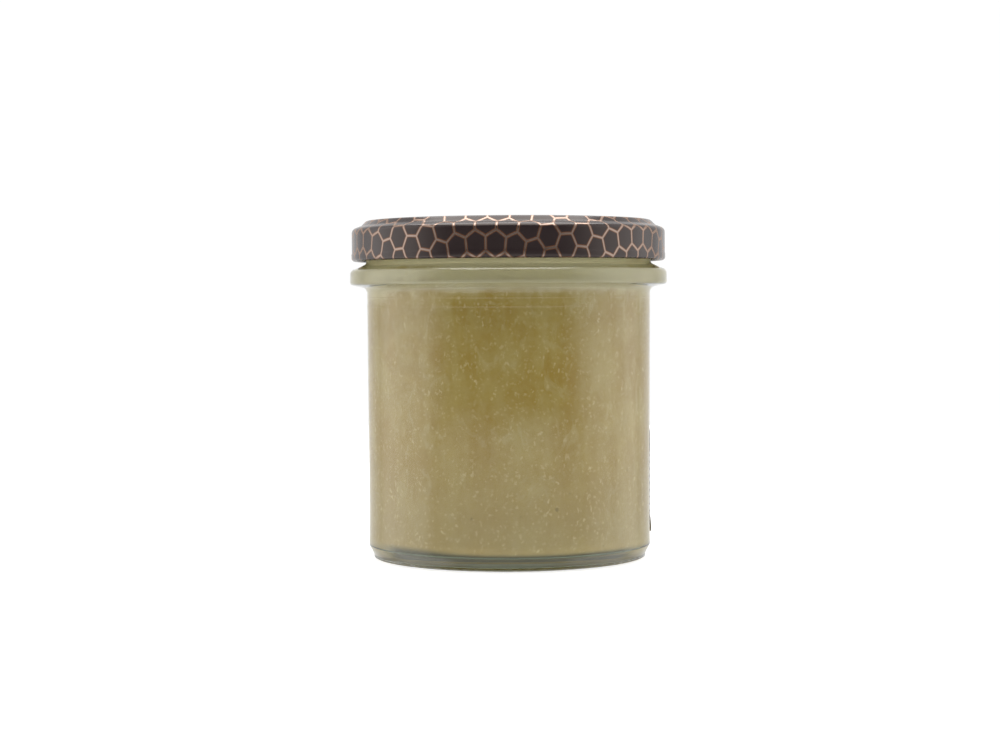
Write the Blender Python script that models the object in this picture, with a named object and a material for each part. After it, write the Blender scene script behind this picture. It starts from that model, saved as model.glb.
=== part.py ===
"""Shut glass jar of set honey: a straight-walled jar with a shoulder ring, its screw lid, honey and label.

Metres, +Z up. The jar stands on z = 0 with its axis on the Z axis, and its front faces -Y.
"""

import math

import bpy

# Whole jar
STEPS_ROUND = 64            # facets round every turned piece
ARC_STEP_DEG = 30.0         # longest turn between two points of a rounded corner
PIECE_GAP = 0.0003          # air between two pieces that touch in the real jar

# Glass, outside
RIM_TOP_Z = 0.0910
NECK_RADIUS = 0.0389
NECK_BASE_Z = 0.0805
RING_RADIUS = 0.0433
RING_TOP_Z = 0.0786
RING_BOTTOM_Z = 0.07485
RING_UNDERSIDE_Z = 0.0739
BODY_TOP_RADIUS = 0.0387
BODY_WAIST_RADIUS = 0.0384
BODY_WAIST_Z = 0.0140
HEEL_RADIUS = 0.0387
HEEL_Z = 0.0039
FOOT_TOP_Z = 0.0015
FOOT_RADIUS = 0.0373
FOOT_KNEE_Z = 0.0004
CONTACT_OUTER_RADIUS = 0.0340
CONTACT_INNER_RADIUS = 0.0315
PUNT_RADIUS = 0.0298
PUNT_EDGE_Z = 0.0009
PUNT_CENTRE_Z = 0.0012

# Glass, inside
FLOOR_EDGE_Z = 0.0039
FLOOR_CENTRE_Z = 0.0041
FLOOR_CORNER_RADIUS = 0.0030
BORE_BOTTOM_RADIUS = 0.0358
BORE_TOP_RADIUS = 0.0361

# Honey
HONEY_TOP_Z = 0.0836
HONEY_EDGE_RADIUS = 0.0008

# Lid, outside
LID_TOP_Z = 0.0922
LID_BOTTOM_Z = 0.0812
LID_RADIUS = 0.04275
LID_CURL_RADIUS = 0.04285
LID_CURL_TOP_Z = 0.0834
LID_SHOULDER_CORNER_Z = 0.08985
LID_SHOULDER_ROUND = 0.00145
LID_LEDGE_INNER_RADIUS = 0.0402
LID_LEDGE_INNER_Z = 0.0908
LID_RAISED_OUTER_RADIUS = 0.0388
LID_RAISED_INNER_RADIUS = 0.0344
LID_PANEL_RADIUS = 0.0331
LID_PANEL_Z = 0.09140
LID_BUTTON_RADIUS = 0.0135
LID_BUTTON_SLOPE = 0.0015
LID_BUTTON_Z = 0.09110

# Lid, inside
LID_SHEET = 0.0004
LID_CURL_WIDTH = 0.0019
LID_SEAL_OUTER_RADIUS = 0.0392

# Label on the right side and the back
LABEL_BOTTOM_Z = 0.0067
LABEL_TOP_Z = 0.0353
LABEL_START_DEG = -2.0      # just past the right edge as seen from the front
LABEL_SWEEP_DEG = 150.0
LABEL_THICKNESS = 0.00025
LABEL_CORNER_RADIUS = 0.0020
LABEL_CORNER_STEPS = 4
LABEL_SPAN_STEPS = 26


def clear_scene():
    """Removes every object that the file opens with."""
    for thing in list(bpy.data.objects):
        bpy.data.objects.remove(thing, do_unlink=True)


def plain_material(name, colour, roughness, metallic=0.0, transmission=0.0):
    """Makes a Principled material of one colour and finish."""
    material = bpy.data.materials.new(name)
    material.use_nodes = True
    shader = material.node_tree.nodes["Principled BSDF"]
    shader.inputs["Base Color"].default_value = (*colour, 1.0)
    shader.inputs["Roughness"].default_value = roughness
    shader.inputs["Metallic"].default_value = metallic
    shader.inputs["Transmission Weight"].default_value = transmission
    return material


def rounded_outline(corners):
    """Turns corners (radius, height, rounding) into an outline whose corners are arcs tangent to both sides."""
    outline = []
    for index, (r, z, rounding) in enumerate(corners):
        if rounding == 0.0 or index in (0, len(corners) - 1):
            outline.append((r, z))
            continue
        before, after = corners[index - 1], corners[index + 1]
        heading_in = math.atan2(z - before[1], r - before[0])
        heading_out = math.atan2(after[1] - z, after[0] - r)
        turn = math.remainder(heading_out - heading_in, math.tau)
        reach = rounding * math.tan(abs(turn) / 2.0)
        side = math.copysign(math.pi / 2.0, turn)
        start_r = r - reach * math.cos(heading_in)
        start_z = z - reach * math.sin(heading_in)
        centre_r = start_r + rounding * math.cos(heading_in + side)
        centre_z = start_z + rounding * math.sin(heading_in + side)
        steps = max(2, math.ceil(abs(math.degrees(turn)) / ARC_STEP_DEG))
        for step in range(steps + 1):
            angle = heading_in - side + turn * step / steps
            outline.append((centre_r + rounding * math.cos(angle), centre_z + rounding * math.sin(angle)))
    return outline


def turned_piece(name, corners, material):
    """Turns an outline about the Z axis into one closed piece."""
    outline = rounded_outline(corners)
    mesh = bpy.data.meshes.new(name)
    edges = [(index, index + 1) for index in range(len(outline) - 1)]
    mesh.from_pydata([(r, 0.0, z) for r, z in outline], edges, [])
    mesh.materials.append(material)
    piece = bpy.data.objects.new(name, mesh)
    bpy.context.scene.collection.objects.link(piece)
    screw = piece.modifiers.new("turn", "SCREW")
    screw.axis = "Z"
    screw.steps = STEPS_ROUND
    screw.render_steps = STEPS_ROUND
    screw.use_merge_vertices = True
    screw.merge_threshold = 0.00001
    screw.use_smooth_shade = True
    return piece


def jar_corners():
    """The glass: up the inside from the middle of the floor, over the rim, and down the outside to the punt."""
    return [
        (0.0, FLOOR_CENTRE_Z, 0.0),
        (BORE_BOTTOM_RADIUS, FLOOR_EDGE_Z, FLOOR_CORNER_RADIUS),
        (BORE_TOP_RADIUS, RIM_TOP_Z, 0.0010),
        (NECK_RADIUS, RIM_TOP_Z, 0.0012),
        (NECK_RADIUS, NECK_BASE_Z, 0.0008),
        (RING_RADIUS, RING_TOP_Z, 0.0014),
        (RING_RADIUS, RING_BOTTOM_Z, 0.0010),
        (BODY_TOP_RADIUS, RING_UNDERSIDE_Z, 0.0017),
        (BODY_WAIST_RADIUS, BODY_WAIST_Z, 0.0),
        (HEEL_RADIUS, HEEL_Z, 0.0013),
        (FOOT_RADIUS, FOOT_TOP_Z, 0.0008),
        (FOOT_RADIUS, FOOT_KNEE_Z, 0.0004),
        (CONTACT_OUTER_RADIUS, 0.0, 0.0),
        (CONTACT_INNER_RADIUS, 0.0, 0.0),
        (PUNT_RADIUS, PUNT_EDGE_Z, 0.0015),
        (0.0, PUNT_CENTRE_Z, 0.0),
    ]


def honey_corners():
    """The honey: from the middle of its level surface down the wall of the bore to the glass floor."""
    bore_draft = (BORE_TOP_RADIUS - BORE_BOTTOM_RADIUS) / (RIM_TOP_Z - FLOOR_EDGE_Z)
    top_radius = BORE_BOTTOM_RADIUS + bore_draft * (HONEY_TOP_Z - FLOOR_EDGE_Z) - PIECE_GAP
    return [
        (0.0, HONEY_TOP_Z, 0.0),
        (top_radius, HONEY_TOP_Z, HONEY_EDGE_RADIUS),
        (BORE_BOTTOM_RADIUS - PIECE_GAP, FLOOR_EDGE_Z + PIECE_GAP, FLOOR_CORNER_RADIUS - PIECE_GAP),
        (0.0, FLOOR_CENTRE_Z + PIECE_GAP, 0.0),
    ]


def lid_corners():
    """The lid: from the middle of the pressed top out to the skirt, round the curl and back along the inside."""
    inner_radius = LID_RADIUS - LID_SHEET
    curl_inner_radius = LID_CURL_RADIUS - LID_CURL_WIDTH
    curl_roof_z = LID_BOTTOM_Z + LID_CURL_WIDTH
    seal_z = RIM_TOP_Z + PIECE_GAP
    return [
        (0.0, LID_BUTTON_Z, 0.0),
        (LID_BUTTON_RADIUS, LID_BUTTON_Z, 0.0),
        (LID_BUTTON_RADIUS + LID_BUTTON_SLOPE, LID_PANEL_Z, 0.0),
        (LID_PANEL_RADIUS, LID_PANEL_Z, 0.0006),
        (LID_RAISED_INNER_RADIUS, LID_TOP_Z, 0.0008),
        (LID_RAISED_OUTER_RADIUS, LID_TOP_Z, 0.0010),
        (LID_LEDGE_INNER_RADIUS, LID_LEDGE_INNER_Z, 0.0008),
        (LID_RADIUS, LID_SHOULDER_CORNER_Z, LID_SHOULDER_ROUND),
        (LID_RADIUS, LID_CURL_TOP_Z, 0.0),
        (LID_CURL_RADIUS, LID_CURL_TOP_Z - 0.0004, 0.0),
        (LID_CURL_RADIUS, LID_BOTTOM_Z, 0.00094),
        (curl_inner_radius, LID_BOTTOM_Z, 0.00094),
        (curl_inner_radius, curl_roof_z, 0.0006),
        (inner_radius, curl_roof_z, 0.0),
        (inner_radius, LID_SHOULDER_CORNER_Z - LID_SHEET, LID_SHOULDER_ROUND - LID_SHEET),
        (LID_SEAL_OUTER_RADIUS, LID_LEDGE_INNER_Z - LID_SHEET, 0.0),
        (LID_SEAL_OUTER_RADIUS, seal_z, 0.0),
        (LID_RAISED_INNER_RADIUS, seal_z, 0.0),
        (LID_PANEL_RADIUS, LID_PANEL_Z - LID_SHEET, 0.0),
        (LID_BUTTON_RADIUS + LID_BUTTON_SLOPE, LID_PANEL_Z - LID_SHEET, 0.0),
        (LID_BUTTON_RADIUS, LID_BUTTON_Z - LID_SHEET, 0.0),
        (0.0, LID_BUTTON_Z - LID_SHEET, 0.0),
    ]


def label_columns():
    """Stations round the label: distance from its start, and how far its corners cut top and bottom back there."""
    span = math.radians(LABEL_SWEEP_DEG) * BODY_WAIST_RADIUS
    corner = []
    for step in range(LABEL_CORNER_STEPS + 1):
        angle = math.pi / 2.0 * step / LABEL_CORNER_STEPS
        corner.append((LABEL_CORNER_RADIUS * (1.0 - math.cos(angle)), LABEL_CORNER_RADIUS * (1.0 - math.sin(angle))))
    middle_span = span - 2.0 * LABEL_CORNER_RADIUS
    middle = [
        (LABEL_CORNER_RADIUS + middle_span * step / LABEL_SPAN_STEPS, 0.0)
        for step in range(1, LABEL_SPAN_STEPS)
    ]
    mirrored = [(span - place, cut) for place, cut in reversed(corner)]
    return corner + middle + mirrored


def body_radius(height):
    """Gives the radius of the glass body's outer face at a height above its heel."""
    if height < BODY_WAIST_Z:
        share = (height - HEEL_Z) / (BODY_WAIST_Z - HEEL_Z)
        return HEEL_RADIUS + (BODY_WAIST_RADIUS - HEEL_RADIUS) * share
    share = (height - BODY_WAIST_Z) / (RING_UNDERSIDE_Z - BODY_WAIST_Z)
    return BODY_WAIST_RADIUS + (BODY_TOP_RADIUS - BODY_WAIST_RADIUS) * share


def label_piece(name, material):
    """Bends a thin sheet with round corners along the glass."""
    vertices = []
    for place, cut in label_columns():
        angle = math.radians(LABEL_START_DEG) + place / BODY_WAIST_RADIUS
        low, high = LABEL_BOTTOM_Z + cut, LABEL_TOP_Z - cut
        inside, outside = PIECE_GAP, PIECE_GAP + LABEL_THICKNESS
        for height, proud in ((low, inside), (low, outside), (high, outside), (high, inside)):
            radius = body_radius(height) + proud
            vertices.append((radius * math.cos(angle), radius * math.sin(angle), height))
    columns = len(vertices) // 4
    faces = [(0, 1, 2, 3)]
    for column in range(columns - 1):
        for side in range(4):
            here = column * 4 + side
            beside = column * 4 + (side + 1) % 4
            faces.append((here, here + 4, beside + 4, beside))
    last = (columns - 1) * 4
    faces.append((last + 3, last + 2, last + 1, last))
    mesh = bpy.data.meshes.new(name)
    mesh.from_pydata(vertices, [], faces)
    mesh.materials.append(material)
    piece = bpy.data.objects.new(name, mesh)
    bpy.context.scene.collection.objects.link(piece)
    return piece


def build_honey_jar():
    """Makes the four pieces of the jar."""
    clear_scene()
    glass = plain_material("clear glass", (0.86, 0.90, 0.86), 0.03, transmission=1.0)
    set_honey = plain_material("set honey", (0.52, 0.44, 0.22), 0.55)
    lacquer = plain_material("dark brown lacquer", (0.035, 0.027, 0.030), 0.25)
    paper = plain_material("white paper", (0.82, 0.82, 0.80), 0.6)
    turned_piece("jar", jar_corners(), glass)
    turned_piece("honey", honey_corners(), set_honey)
    turned_piece("lid", lid_corners(), lacquer)
    label_piece("label", paper)


build_honey_jar()
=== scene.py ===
"""Dresses the shut jar of set honey: clear glass, creamy honey, printed screw lid and paper label.

Metres, +Z up, the jar's axis on Z, its front towards -Y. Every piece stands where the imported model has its
node, in a plain white studio.
"""

import logging
import math
from dataclasses import dataclass, field
from enum import Enum
from typing import ClassVar

import bpy
from mathutils import Euler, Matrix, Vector


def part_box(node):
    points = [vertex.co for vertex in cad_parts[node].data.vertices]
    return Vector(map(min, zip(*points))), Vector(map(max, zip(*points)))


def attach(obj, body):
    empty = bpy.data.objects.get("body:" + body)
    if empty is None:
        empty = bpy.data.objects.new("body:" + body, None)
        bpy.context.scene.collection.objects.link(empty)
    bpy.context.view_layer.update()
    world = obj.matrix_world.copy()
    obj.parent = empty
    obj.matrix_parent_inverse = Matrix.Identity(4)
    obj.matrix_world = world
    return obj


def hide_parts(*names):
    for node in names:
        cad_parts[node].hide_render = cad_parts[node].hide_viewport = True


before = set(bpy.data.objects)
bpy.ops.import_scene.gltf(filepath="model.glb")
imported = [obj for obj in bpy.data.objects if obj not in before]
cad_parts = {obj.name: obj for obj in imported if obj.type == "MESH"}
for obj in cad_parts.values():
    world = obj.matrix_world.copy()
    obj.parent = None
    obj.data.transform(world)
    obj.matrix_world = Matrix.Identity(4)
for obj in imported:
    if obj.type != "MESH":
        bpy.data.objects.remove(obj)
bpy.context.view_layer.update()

BODY = "root"
SHEET_PLACE = "sheet_place"     # where a point of a printed piece lies on its flat sheet, in metres
MM = 0.001
ON_AXIS = 1e-7                  # a point whose radius is smaller lies on the axis

Corner = tuple[float, float, float]
Point = tuple[float, float]
Span = tuple[float, float]      # where a tone or mask begins, and where it is full or ends
Colour = tuple[float, float, float]
Socket = bpy.types.NodeSocket

log = logging.getLogger("honey_jar")


class Slot(Enum):
    """The material slots."""

    GLASS = "clear_glass"
    HONEY = "set_honey"
    LID = "lid_lacquer"
    PAPER = "label_paper"


class SocketKind(Enum):
    """Kinds of socket, each under the name that a Mix node has for it."""

    FLOAT = "NodeSocketFloat"
    VECTOR = "NodeSocketVector"
    RGBA = "NodeSocketColor"


class NodeSketch:
    """Adds nodes to one node tree with short calls."""

    def __init__(self, tree: bpy.types.NodeTree) -> None:
        """Keeps the tree that the nodes go into."""
        self.tree = tree

    def add(self, kind: str, **settings: object) -> bpy.types.Node:
        """Adds a node and sets its properties.

        Args:
            kind: Blender's name for the node's type.
            **settings: Properties of the node by name.

        Returns:
            The new node.
        """
        node = self.tree.nodes.new(kind)
        for name, value in settings.items():
            setattr(node, name, value)
        return node

    def feed(self, socket: Socket, value: object) -> None:
        """Links a socket to an input, or sets the input to a plain value.

        Args:
            socket: The input socket.
            value: Another node's output, a number, or several numbers, three of them for a colour.
        """
        if isinstance(value, Socket):
            self.tree.links.new(value, socket)
        elif socket.type == "RGBA":
            socket.default_value = (*value, 1.0)
        else:
            socket.default_value = value

    def fill(self, node: bpy.types.Node, **values: object) -> bpy.types.Node:
        """Feeds several inputs of a node.

        Args:
            node: The node.
            **values: Sockets or plain values by the input's name, with _ for a space.

        Returns:
            The same node.
        """
        for name, value in values.items():
            self.feed(node.inputs[name.replace("_", " ")], value)
        return node

    def math(self, operation: str, *values: object) -> Socket:
        """Adds a Math node.

        Args:
            operation: The node's operation.
            *values: Its inputs, sockets or numbers.

        Returns:
            The result's socket.
        """
        node = self.add("ShaderNodeMath", operation=operation)
        for socket, value in zip(node.inputs, values):
            self.feed(socket, value)
        return node.outputs["Value"]

    def plus(self, first: object, second: object) -> Socket:
        """Adds two values."""
        return self.math("ADD", first, second)

    def minus(self, first: object, second: object) -> Socket:
        """Takes the second value from the first."""
        return self.math("SUBTRACT", first, second)

    def times(self, first: object, *others: object) -> Socket:
        """Multiplies two or more values.

        Args:
            first: The first value, a socket or a number.
            *others: What it is multiplied by.

        Returns:
            The product's socket.
        """
        product = first
        for other in others:
            product = self.math("MULTIPLY", product, other)
        return product

    def vector(self, operation: str, *values: object, output: str = "Vector") -> Socket:
        """Adds a Vector Math node.

        Args:
            operation: The node's operation.
            *values: Its vector inputs.
            output: The output to hand back, Vector or Value.

        Returns:
            The result's socket.
        """
        node = self.add("ShaderNodeVectorMath", operation=operation)
        for socket, value in zip(node.inputs, values):
            self.feed(socket, value)
        return node.outputs[output]

    def scaled(self, point: Socket, factor: object) -> Socket:
        """Multiplies a point by one number."""
        node = self.add("ShaderNodeVectorMath", operation="SCALE")
        return self.fill(node, Vector=point, Scale=factor).outputs["Vector"]

    def squeezed(self, point: Socket, share: float) -> Socket:
        """Multiplies the height of a point by a share, so that what is read there comes out taller."""
        return self.vector("MULTIPLY", point, (1.0, 1.0, share))

    def apart(self, point: Socket) -> list[Socket]:
        """Takes a point apart into its X, Y and Z."""
        node = self.fill(self.add("ShaderNodeSeparateXYZ"), Vector=point)
        return [node.outputs[axis] for axis in "XYZ"]

    def solid_place(self) -> Socket:
        """Gives the place in the piece itself."""
        return self.add("ShaderNodeTexCoord").outputs["Object"]

    def sheet_place(self) -> Socket:
        """Gives the place on the printed sheet before it was shaped."""
        return self.add("ShaderNodeAttribute", attribute_name=SHEET_PLACE).outputs["Vector"]

    def fade(self, value: object, start: object, end: object) -> Socket:
        """Gives 0 at start and 1 at end of a value, with a soft passage between.

        Args:
            value: The value's socket.
            start: Where the result is 0.
            end: Where the result is 1.

        Returns:
            The result's socket.
        """
        node = self.add("ShaderNodeMapRange", interpolation_type="SMOOTHSTEP")
        return self.fill(node, Value=value, From_Min=start, From_Max=end).outputs["Result"]

    def mix(self, kind: SocketKind, share: object, low: object, high: object) -> Socket:
        """Adds a Mix node.

        Args:
            kind: What is mixed.
            share: How much of the second value there is.
            low: The value at 0.
            high: The value at 1.

        Returns:
            The result's socket.
        """
        node = self.fill(self.add("ShaderNodeMix", data_type=kind.name), Factor=share)
        ends = [end for end in node.inputs if end.bl_idname == kind.value and end.name != "Factor"]
        self.feed(ends[0], low)
        self.feed(ends[1], high)
        return next(result for result in node.outputs if result.bl_idname == kind.value)

    def blend(self, share: object, low: object, high: object) -> Socket:
        """Mixes two colours, each a socket or three numbers."""
        return self.mix(SocketKind.RGBA, share, low, high)

    def blend_numbers(self, share: object, low: object, high: object) -> Socket:
        """Mixes two numbers."""
        return self.mix(SocketKind.FLOAT, share, low, high)

    def noise(self, place: Socket, scale: object, output: str = "Fac", **settings: float) -> Socket:
        """Adds a Noise Texture.

        Args:
            place: The point that it is read at.
            scale: Features to the metre.
            output: The output to hand back, Fac or Color.
            **settings: Its other inputs by name.

        Returns:
            The noise's socket.
        """
        node = self.add("ShaderNodeTexNoise")
        return self.fill(node, Vector=place, Scale=scale, **settings).outputs[output]


class EffectGroup:
    """A shader node group with named sockets, built once and put in each material that uses it."""

    def __init__(self, name: str, numbers: dict[str, float], results: tuple[str, ...]) -> None:
        """Makes the empty group, whose first input is the place that it is read at.

        Args:
            name: The group's name.
            numbers: Its other inputs and their default values.
            results: Its outputs, each a number.
        """
        self.tree = bpy.data.node_groups.new(name, "ShaderNodeTree")
        interface = self.tree.interface
        interface.new_socket("Place", in_out="INPUT", socket_type=SocketKind.VECTOR.value)
        for label, value in numbers.items():
            socket = interface.new_socket(label, in_out="INPUT", socket_type=SocketKind.FLOAT.value)
            socket.default_value = value
        for label in results:
            interface.new_socket(label, in_out="OUTPUT", socket_type=SocketKind.FLOAT.value)
        self.sketch = NodeSketch(self.tree)
        self.entry = self.sketch.add("NodeGroupInput").outputs
        self.exit = self.sketch.add("NodeGroupOutput")

    def put(self, sketch: NodeSketch, place: Socket, **numbers: float) -> bpy.types.NodeOutputs:
        """Puts the group into a material.

        Args:
            sketch: The material's sketch.
            place: The point that it is read at.
            **numbers: Its other inputs by name, with _ for a space.

        Returns:
            The outputs of the placed group.
        """
        node = sketch.add("ShaderNodeGroup", node_tree=self.tree)
        return sketch.fill(node, Place=place, **numbers).outputs


def make_ripple() -> EffectGroup:
    """Builds the low swell and fine tooth that every surface carries, each at its own scale.

    Returns:
        The group, whose Height feeds a Bump node.
    """
    group = EffectGroup("surface ripple", {"Swell": 60.0, "Tooth": 900.0, "Tooth Share": 0.2}, ("Height",))
    sketch, entry = group.sketch, group.entry
    swell = sketch.noise(entry["Place"], entry["Swell"], Detail=1.0)
    tooth = sketch.noise(entry["Place"], entry["Tooth"])
    sketch.fill(group.exit, Height=sketch.blend_numbers(entry["Tooth Share"], swell, tooth))
    return group


def make_honeycomb() -> EffectGroup:
    """Builds the six-sided line pattern of a printed sheet.

    Returns:
        The group, with a mask of the fine lines and one of the wider halo round them.
    """
    numbers = {"Cell": 5.7 * MM, "Line": 0.4 * MM, "Softness": 0.1 * MM}
    group = EffectGroup("honeycomb lines", numbers, ("Lines", "Halo"))
    sketch, entry = group.sketch, group.entry
    place = sketch.scaled(entry["Place"], sketch.math("DIVIDE", 1.0, entry["Cell"]))
    half_row = math.sqrt(3.0) / 2.0
    half_pitch, back_pitch = (0.5, half_row, 0.5), (-0.5, -half_row, -0.5)
    insides, distances = [], []
    for first_cell in ((0.0, 0.0, 0.0), half_pitch):
        shifted = sketch.vector("SUBTRACT", place, first_cell)
        wrapped = sketch.vector("WRAP", shifted, half_pitch, back_pitch)
        insides.append(sketch.squeezed(wrapped, 0.0))
        distances.append(sketch.vector("LENGTH", insides[-1], output="Value"))
    nearer = sketch.math("LESS_THAN", distances[1], distances[0])
    inside = sketch.mix(SocketKind.VECTOR, nearer, *insides)
    across, along, _ = sketch.apart(sketch.vector("ABSOLUTE", inside))
    slanted = sketch.plus(sketch.times(across, 0.5), sketch.times(along, half_row))
    reach = sketch.math("MAXIMUM", across, slanted)
    edge = sketch.times(sketch.minus(0.5, reach), entry["Cell"])
    half_line = sketch.times(entry["Line"], 0.5)
    outer, inner = sketch.plus(half_line, entry["Softness"]), sketch.minus(half_line, entry["Softness"])
    halo = sketch.fade(edge, sketch.times(entry["Line"], 1.1), half_line)
    sketch.fill(group.exit, Lines=sketch.fade(edge, outer, inner), Halo=halo)
    return group


def make_flecks() -> EffectGroup:
    """Builds scattered specks and short strokes, for crystals in the honey and fibres in the paper.

    Returns:
        The group, with a mask of the specks.
    """
    numbers = {"Scale": 500.0, "Size": 0.2, "Crowding": 0.5, "Waviness": 1.4, "Core": 0.3}
    group = EffectGroup("scattered flecks", numbers, ("Mask",))
    sketch, entry = group.sketch, group.entry
    bend = sketch.noise(entry["Place"], sketch.times(entry["Scale"], 1.6), output="Color")
    shift = sketch.scaled(bend, sketch.math("DIVIDE", entry["Waviness"], entry["Scale"]))
    cells = sketch.add("ShaderNodeTexVoronoi", feature="F1")
    sketch.fill(cells, Vector=sketch.vector("ADD", entry["Place"], shift), Scale=entry["Scale"])
    chances = sketch.add("ShaderNodeSeparateColor")
    sketch.fill(chances, Color=cells.outputs["Color"])
    red, green, blue = (chances.outputs[name] for name in ("Red", "Green", "Blue"))
    chosen = sketch.math("LESS_THAN", red, entry["Crowding"])
    size = sketch.times(entry["Size"], sketch.plus(0.35, green))
    speck = sketch.fade(cells.outputs["Distance"], size, sketch.times(size, entry["Core"]))
    strength = sketch.plus(0.4, sketch.times(blue, 0.6))
    sketch.fill(group.exit, Mask=sketch.times(speck, chosen, strength))
    return group


@dataclass(frozen=True)
class Effects:
    """The node groups that the finishes share."""

    ripple: EffectGroup
    honeycomb: EffectGroup
    flecks: EffectGroup


@dataclass(frozen=True)
class Relief:
    """A surface's ripple: swells and teeth to the metre, the teeth's share, its height and strength."""

    swell: float
    tooth: float
    tooth_share: float
    height: float
    strength: float


class MaterialSketch(NodeSketch):
    """The nodes of a new material round its Principled shader."""

    def __init__(self, name: str) -> None:
        """Makes the material.

        Args:
            name: The material's name.
        """
        self.material = bpy.data.materials.new(name)
        self.material.use_nodes = True
        super().__init__(self.material.node_tree)
        self.shader = self.tree.nodes["Principled BSDF"]

    def dress(self, **values: object) -> None:
        """Feeds inputs of the shader, with _ for a space in a name."""
        self.fill(self.shader, **values)

    def ripple(self, effects: Effects, place: Socket, relief: Relief, *others: Socket) -> None:
        """Feeds the surface's ripple, and what is laid on it, into the shader's normal.

        Args:
            effects: The shared node groups.
            place: The point that the ripple is read at.
            relief: The ripple's measures.
            *others: Further heights, as shares of the ripple's own.
        """
        numbers = {"Swell": relief.swell, "Tooth": relief.tooth, "Tooth_Share": relief.tooth_share}
        height = effects.ripple.put(self, place, **numbers)["Height"]
        for other in others:
            height = self.plus(height, other)
        bump = self.add("ShaderNodeBump")
        self.fill(bump, Distance=relief.height, Strength=relief.strength, Height=height)
        self.dress(Normal=bump.outputs["Normal"])


@dataclass(frozen=True)
class GlassFinish:
    """Clear pressed glass with a faint green cast and a stippled bearing ring."""

    clear: Colour = (1.0, 1.0, 1.0)
    tint: Colour = (0.50, 0.56, 0.43)
    tint_density: float = 52.0
    refraction: float = 1.52
    relief: Relief = Relief(55.0, 400.0, 0.05, 0.04 * MM, 1.0)
    stipple: float = 900.0
    stipple_share: float = 3.0
    underside: Span = (1.4 * MM, 1.0 * MM)

    def material(self, effects: Effects) -> bpy.types.Material:
        """Makes the glass.

        Args:
            effects: The shared node groups.

        Returns:
            The material.
        """
        sketch = MaterialSketch("clear pressed glass")
        sketch.dress(Base_Color=self.clear, Roughness=0.0, IOR=self.refraction, Transmission_Weight=1.0)
        place = sketch.solid_place()
        underside = sketch.fade(sketch.apart(place)[2], *self.underside)
        stipple = sketch.noise(place, self.stipple, Detail=1.0)
        sketch.ripple(effects, place, self.relief, sketch.times(stipple, underside, self.stipple_share))
        depth = sketch.add("ShaderNodeVolumeAbsorption")
        sketch.fill(depth, Color=self.tint, Density=self.tint_density)
        sketch.fill(sketch.tree.nodes["Material Output"], Volume=depth.outputs["Volume"])
        return sketch.material


@dataclass(frozen=True)
class HoneyPoint:
    """What the honey's tones depend on at a point."""

    place: Socket       # the point itself
    height: Socket      # its height
    radius: Socket      # its distance from the axis
    across: Socket      # the share of that distance that lies to the right
    cloud: Socket       # the large noise there
    level: Socket       # its height with a slow wander


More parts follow.
